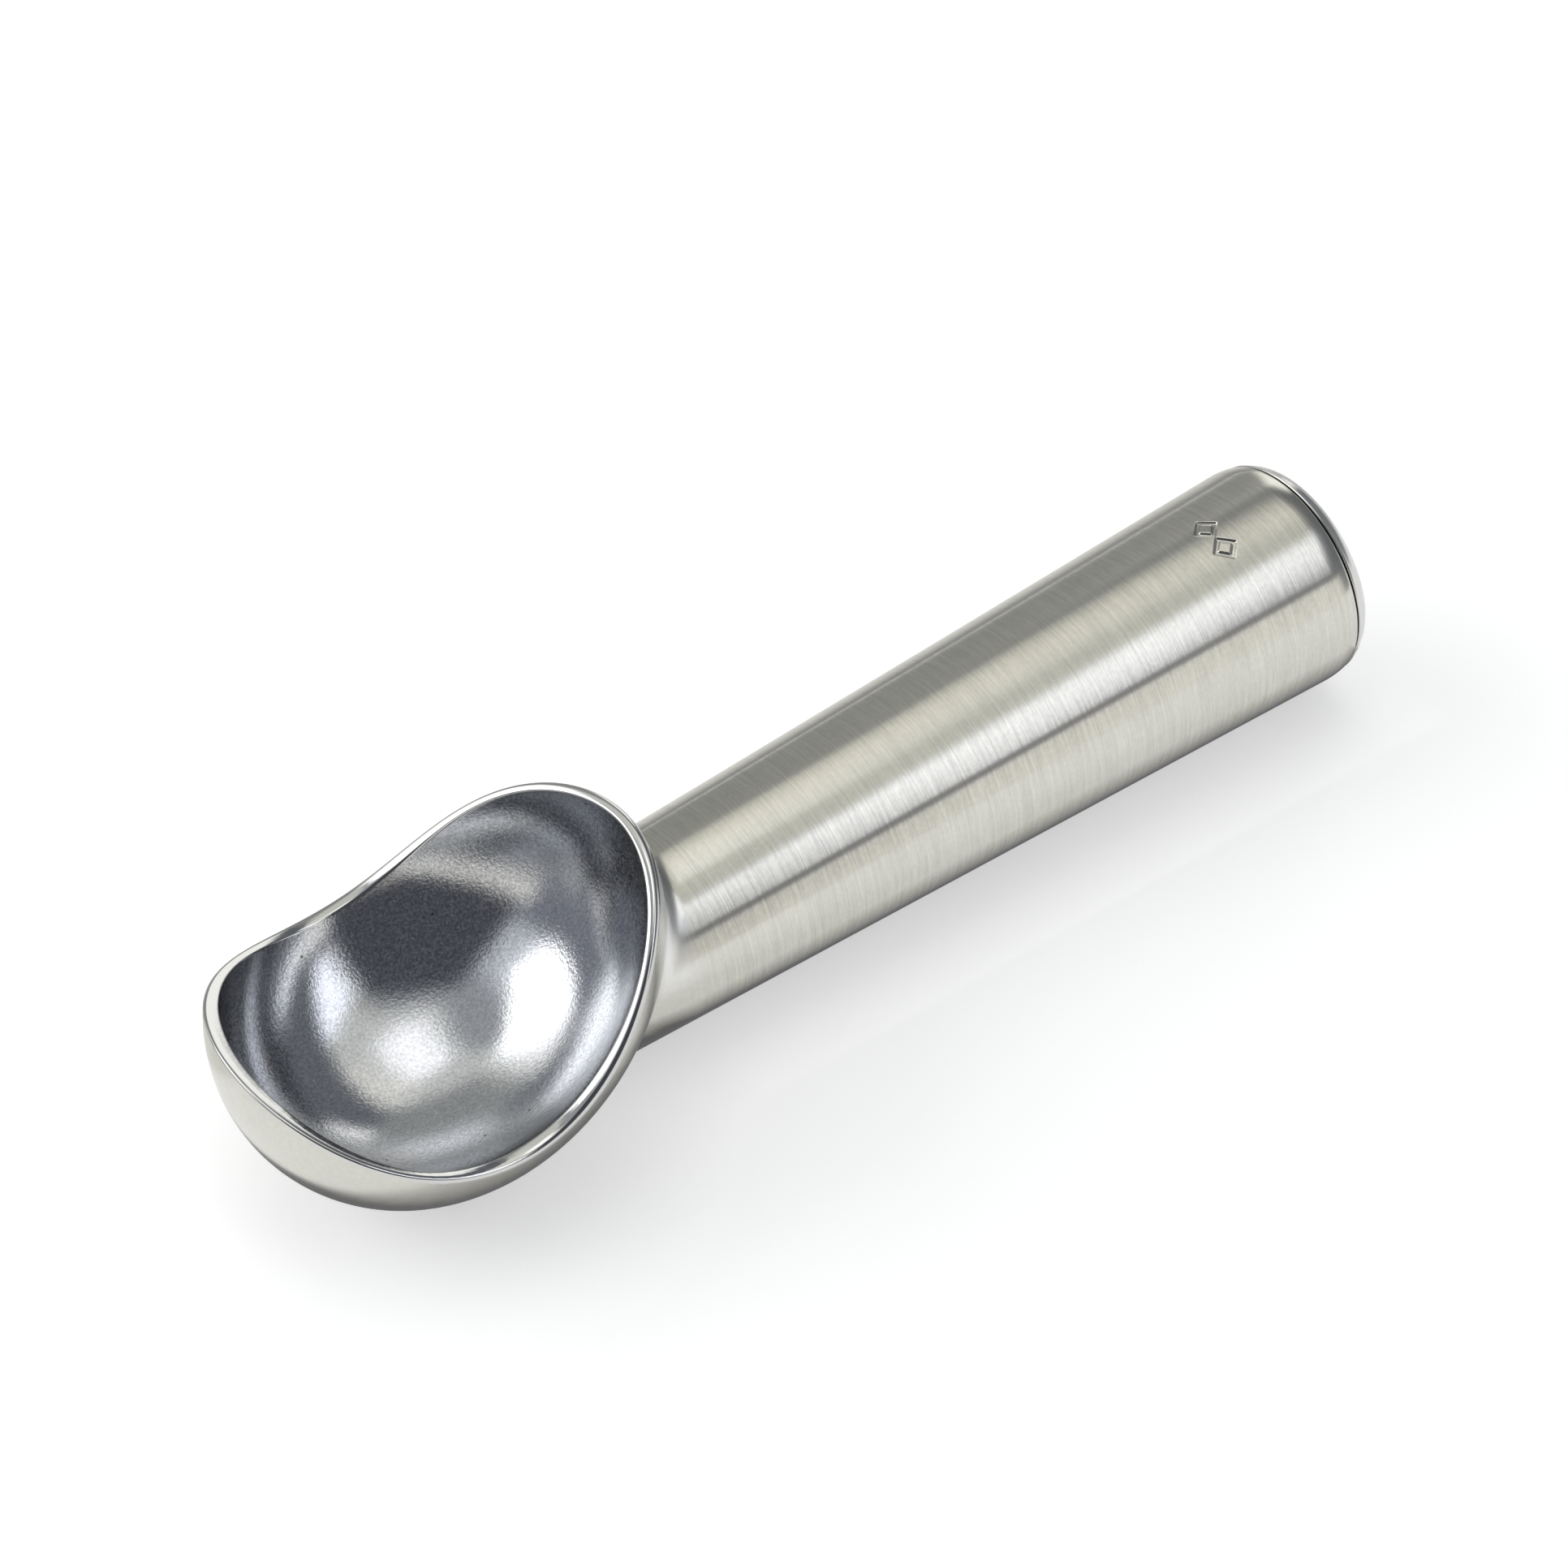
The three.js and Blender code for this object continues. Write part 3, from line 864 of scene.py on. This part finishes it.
def painted_shade_material(name, dark):
    """Matt card that glows as bright as the floor at its sides and dark between them, by the V of its UV map:
    painted shade that reflections show.
    """
    material, tree, shader = new_material(name, (0, 0, 0), 0.0, 1.0)
    shader.inputs["Specular IOR Level"].default_value = 0
    split = tree.nodes.new("ShaderNodeSeparateXYZ")
    tree.links.new(tree.nodes.new("ShaderNodeUVMap").outputs["UV"], split.inputs["Vector"])
    side = math_node(tree, "ABSOLUTE", split.outputs["Y"])
    shade = tint(tree, spread(tree, side, 0, 1, 0.5, 1.0), dark, FLOOR_SHINE)
    tree.links.new(shade, shader.inputs["Emission Color"])
    shader.inputs["Emission Strength"].default_value = 1
    return material


def painted_shade_card(name, rows, dark):
    """Flat glowing card on the floor that only reflections see, painting shade into them, from rows of (x,
    middle y, half width).
    """
    points = [(x, y + half * v, CARD_HEIGHT) for x, y, half in rows for v in (-1, 1)]
    faces = [(2 * i, 2 * i + 2, 2 * i + 3, 2 * i + 1) for i in range(len(rows) - 1)]
    mesh = stage_piece(name, points, faces, painted_shade_material(name, dark), ("camera", "diffuse", "shadow"))
    sides = [(0.0, v) for _ in faces for v in (-1.0, -1.0, 1.0, 1.0)]
    mesh.uv_layers.new(name="card").data.foreach_set("uv", np.array(sides).ravel())


def painted_shade_cards():
    """Painted shadow under the dipper, a dark card standing in for its contact shadow in reflections so that
    its underside reads, and painted shade behind it, a grey card, so that its far edge does.
    """
    low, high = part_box("scoop_body")
    bowl = low[0] + 0.034
    under = [(bowl - 0.036 * math.cos(a), 0, 0.042 * math.sin(a) + 0.0005) for a in np.linspace(0, 2.4, 16)]
    under += [(bowl + 0.034, 0, 0.0235), (high[0] + 0.012, 0, 0.0262)]
    painted_shade_card("painted_shadow_under", under, (0.16, 0.16, 0.17))
    painted_shade_card("painted_shade_behind", [(-0.6, 0.36, 0.33), (0.6, 0.36, 0.33)], (0.3, 0.3, 0.31))


CAMERA_AZIMUTH = math.radians(-35.19)
CAMERA_LIFT = math.radians(47.685)
CAMERA_ROLL = math.radians(-1.042)
CAMERA_AIM = Vector((-0.00321, 0.0, 0.03029))
CAMERA_DISTANCE = 0.5296
CAMERA_LENS = 88.04


def camera():
    lens = bpy.data.cameras.new("camera")
    lens.sensor_width = 36
    lens.lens = CAMERA_LENS
    made = bpy.data.objects.new("camera", lens)
    back = Vector((
        math.sin(CAMERA_AZIMUTH) * math.cos(CAMERA_LIFT),
        -math.cos(CAMERA_AZIMUTH) * math.cos(CAMERA_LIFT),
        math.sin(CAMERA_LIFT),
    ))
    right = Vector((math.cos(CAMERA_AZIMUTH), math.sin(CAMERA_AZIMUTH), 0))
    turn = Matrix([right, back.cross(right), back]).transposed() @ Matrix.Rotation(CAMERA_ROLL, 3, "Z")
    made.matrix_world = Matrix.LocRotScale(CAMERA_AIM + back * CAMERA_DISTANCE, turn, None)
    bpy.context.scene.collection.objects.link(made)
    bpy.context.scene.camera = made


floor()
backdrop()
painted_shade_cards()
studio_world()
camera()
bpy.context.scene.view_settings.view_transform = "Standard"
